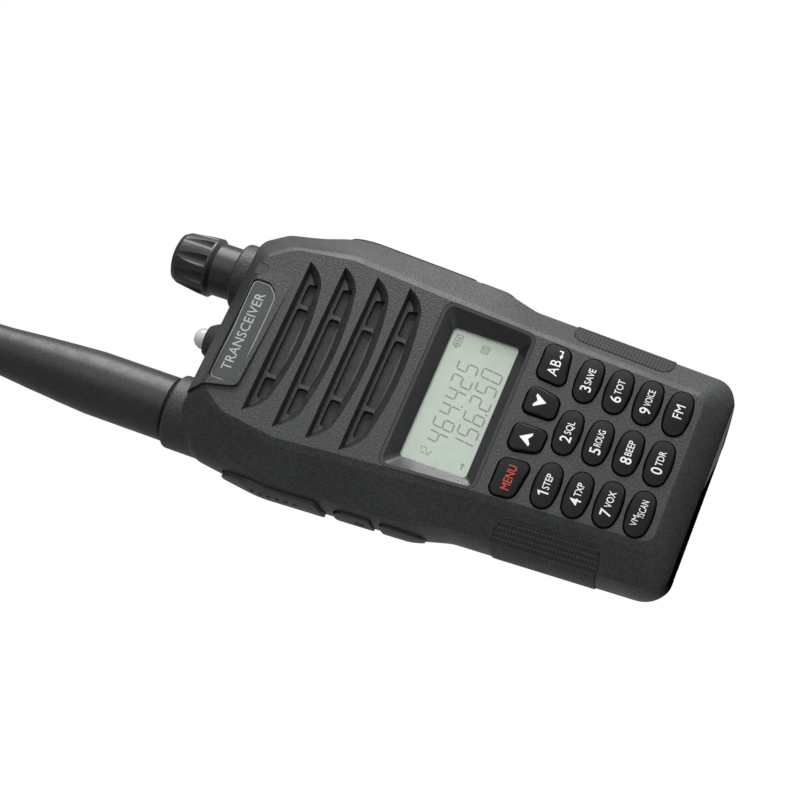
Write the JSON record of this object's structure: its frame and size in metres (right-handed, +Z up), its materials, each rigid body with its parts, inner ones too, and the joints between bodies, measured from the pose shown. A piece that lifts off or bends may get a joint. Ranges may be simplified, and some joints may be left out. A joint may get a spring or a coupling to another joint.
{
  "type": "handheld two-way radio",
  "caption": "Handheld two-way radio with a thick flexible aerial, louvred speaker, small screen, rubber keypad, side talk button and slide-off battery.",
  "frame": {"origin": "centre of the base that the radio stands on", "axes": "+Z up the body along the aerial, -Y out of the face with the keys, +X to the right of someone reading the keys"},
  "size_m": [0.0639, 0.0341, 0.2656],
  "materials": {
    "case_plastic": "fine spark-eroded texture, charcoal",
    "chassis_metal": "die casting, black powder paint",
    "battery_plastic": "fine texture, black",
    "key_gloss": "glossy black caps with printed legends",
    "gloss_trim": "polished black frame",
    "knob_plastic": "satin black",
    "clear_lens": "clear moulded",
    "lcd_glass": "reflective pale green screen",
    "diffuser_plastic": "milky",
    "grip_rubber": "moulded with a fine square grid",
    "aerial_rubber": "satin moulded rubber",
    "button_plastic": "matt moulded rubber over a hard core",
    "label_metal": "dark grey-green plate",
    "circuit_board": "green solder mask",
    "brass_parts": "plated",
    "steel_parts": "zinc plated",
    "cell_wrap": "foil pouch",
    "felt_cloth": "black acoustic cloth",
    "switch_plastic": "grey"
  },
  "bodies": {
    "radio": {"accessory_jacks": "brass_parts", "aerial_socket": "brass_parts", "case_screws": "steel_parts", "case_seal": "grip_rubber", "deck_nuts": "steel_parts", "display_backlight": "diffuser_plastic", "display_frame": "gloss_trim", "display_module": "lcd_glass", "display_window": "clear_lens", "front_case": "case_plastic", "grip_left": "grip_rubber", "grip_right": "grip_rubber", "jack_cover_anchor": "grip_rubber", "key_domes": "steel_parts", "keypad_board": "circuit_board", "keypad_mat": "grip_rubber", "label_plate": "label_metal", "main_board": "circuit_board", "microphone": "steel_parts", "radio_contacts": "brass_parts", "rear_chassis": "chassis_metal", "shield_can": "steel_parts", "side_switch_board": "circuit_board", "side_switches": "switch_plastic", "speaker": "steel_parts", "speaker_felt": "felt_cloth", "status_lens": "clear_lens", "torch_holder": "grip_rubber", "torch_lamp": "clear_lens", "volume_control": "steel_parts"},
    "battery": {"battery_case": "battery_plastic", "battery_cells": "cell_wrap", "battery_contacts": "brass_parts", "battery_striker": "steel_parts"},
    "aerial": {"aerial_sleeve": "aerial_rubber", "aerial_ferrule": "brass_parts", "aerial_coil": "brass_parts"},
    "knob": {"volume_knob": "knob_plastic", "volume_shaft": "steel_parts"},
    "lock": {"battery_lock": "knob_plastic"},
    "talk_button": {"ptt_button": "button_plastic"},
    "upper_button": {"side_button_upper": "button_plastic"},
    "lower_button": {"side_button_lower": "button_plastic"},
    "jack_flap": {"jack_cover": "grip_rubber"},
    "key_0": {"key_0": "key_gloss"},
    "key_1": {"key_1": "key_gloss"},
    "key_2": {"key_2": "key_gloss"},
    "key_3": {"key_3": "key_gloss"},
    "key_4": {"key_4": "key_gloss"},
    "key_5": {"key_5": "key_gloss"},
    "key_6": {"key_6": "key_gloss"},
    "key_7": {"key_7": "key_gloss"},
    "key_8": {"key_8": "key_gloss"},
    "key_9": {"key_9": "key_gloss"},
    "key_ab": {"key_ab": "key_gloss"},
    "key_down": {"key_down": "key_gloss"},
    "key_fm": {"key_fm": "key_gloss"},
    "key_menu": {"key_menu": "key_gloss"},
    "key_scan": {"key_scan": "key_gloss"},
    "key_up": {"key_up": "key_gloss"}
  },
  "joints": [
    {"name": "battery_slide", "type": "slide", "parent": "radio", "child": "battery", "axis": [0, 0, -1], "range_m": [0, 0.1]},
    {"name": "battery_lock_slide", "type": "slide", "parent": "radio", "child": "lock", "axis": [-1, 0, 0], "range_m": [0, 0.0018]},
    {"name": "aerial_turn", "type": "hinge", "parent": "radio", "child": "aerial", "pos_m": [-0.0195, -0.0025, 0.1156], "axis": [0, 0, 1], "range_deg": [0, 1440]},
    {"name": "volume_turn", "type": "hinge", "parent": "radio", "child": "knob", "pos_m": [0.0163, -0.0025, 0.1156], "axis": [0, 0, -1], "range_deg": [0, 280]},
    {"name": "talk_press", "type": "slide", "parent": "radio", "child": "talk_button", "axis": [1, 0, 0], "range_m": [0, 0.001], "stiffness_N_per_m": 1500, "springref_m": -0.0012},
    {"name": "upper_button_press", "type": "slide", "parent": "radio", "child": "upper_button", "axis": [1, 0, 0], "range_m": [0, 0.0006], "stiffness_N_per_m": 1500, "springref_m": -0.001},
    {"name": "lower_button_press", "type": "slide", "parent": "radio", "child": "lower_button", "axis": [1, 0, 0], "range_m": [0, 0.0006], "stiffness_N_per_m": 1500, "springref_m": -0.001},
    {"name": "jack_cover_hinge", "type": "hinge", "parent": "radio", "child": "jack_flap", "pos_m": [0.0303, -0.0035, 0.0623], "axis": [0, 1, 0], "range_deg": [0, 110], "stiffness_Nm_per_rad": 0.0006},
    {"name": "key_0_press", "type": "slide", "parent": "radio", "child": "key_0", "axis": [0, 1, 0], "range_m": [0, 0.0008], "stiffness_N_per_m": 1000, "springref_m": -0.0008},
    {"name": "key_1_press", "type": "slide", "parent": "radio", "child": "key_1", "axis": [0, 1, 0], "range_m": [0, 0.0008], "stiffness_N_per_m": 1000, "springref_m": -0.0008},
    {"name": "key_2_press", "type": "slide", "parent": "radio", "child": "key_2", "axis": [0, 1, 0], "range_m": [0, 0.0008], "stiffness_N_per_m": 1000, "springref_m": -0.0008},
    {"name": "key_3_press", "type": "slide", "parent": "radio", "child": "key_3", "axis": [0, 1, 0], "range_m": [0, 0.0008], "stiffness_N_per_m": 1000, "springref_m": -0.0008},
    {"name": "key_4_press", "type": "slide", "parent": "radio", "child": "key_4", "axis": [0, 1, 0], "range_m": [0, 0.0008], "stiffness_N_per_m": 1000, "springref_m": -0.0008},
    {"name": "key_5_press", "type": "slide", "parent": "radio", "child": "key_5", "axis": [0, 1, 0], "range_m": [0, 0.0008], "stiffness_N_per_m": 1000, "springref_m": -0.0008},
    {"name": "key_6_press", "type": "slide", "parent": "radio", "child": "key_6", "axis": [0, 1, 0], "range_m": [0, 0.0008], "stiffness_N_per_m": 1000, "springref_m": -0.0008},
    {"name": "key_7_press", "type": "slide", "parent": "radio", "child": "key_7", "axis": [0, 1, 0], "range_m": [0, 0.0008], "stiffness_N_per_m": 1000, "springref_m": -0.0008},
    {"name": "key_8_press", "type": "slide", "parent": "radio", "child": "key_8", "axis": [0, 1, 0], "range_m": [0, 0.0008], "stiffness_N_per_m": 1000, "springref_m": -0.0008},
    {"name": "key_9_press", "type": "slide", "parent": "radio", "child": "key_9", "axis": [0, 1, 0], "range_m": [0, 0.0008], "stiffness_N_per_m": 1000, "springref_m": -0.0008},
    {"name": "key_ab_press", "type": "slide", "parent": "radio", "child": "key_ab", "axis": [0, 1, 0], "range_m": [0, 0.0008], "stiffness_N_per_m": 1000, "springref_m": -0.0008},
    {"name": "key_down_press", "type": "slide", "parent": "radio", "child": "key_down", "axis": [0, 1, 0], "range_m": [0, 0.0008], "stiffness_N_per_m": 1000, "springref_m": -0.0008},
    {"name": "key_fm_press", "type": "slide", "parent": "radio", "child": "key_fm", "axis": [0, 1, 0], "range_m": [0, 0.0008], "stiffness_N_per_m": 1000, "springref_m": -0.0008},
    {"name": "key_menu_press", "type": "slide", "parent": "radio", "child": "key_menu", "axis": [0, 1, 0], "range_m": [0, 0.0008], "stiffness_N_per_m": 1000, "springref_m": -0.0008},
    {"name": "key_scan_press", "type": "slide", "parent": "radio", "child": "key_scan", "axis": [0, 1, 0], "range_m": [0, 0.0008], "stiffness_N_per_m": 1000, "springref_m": -0.0008},
    {"name": "key_up_press", "type": "slide", "parent": "radio", "child": "key_up", "axis": [0, 1, 0], "range_m": [0, 0.0008], "stiffness_N_per_m": 1000, "springref_m": -0.0008}
  ]
}
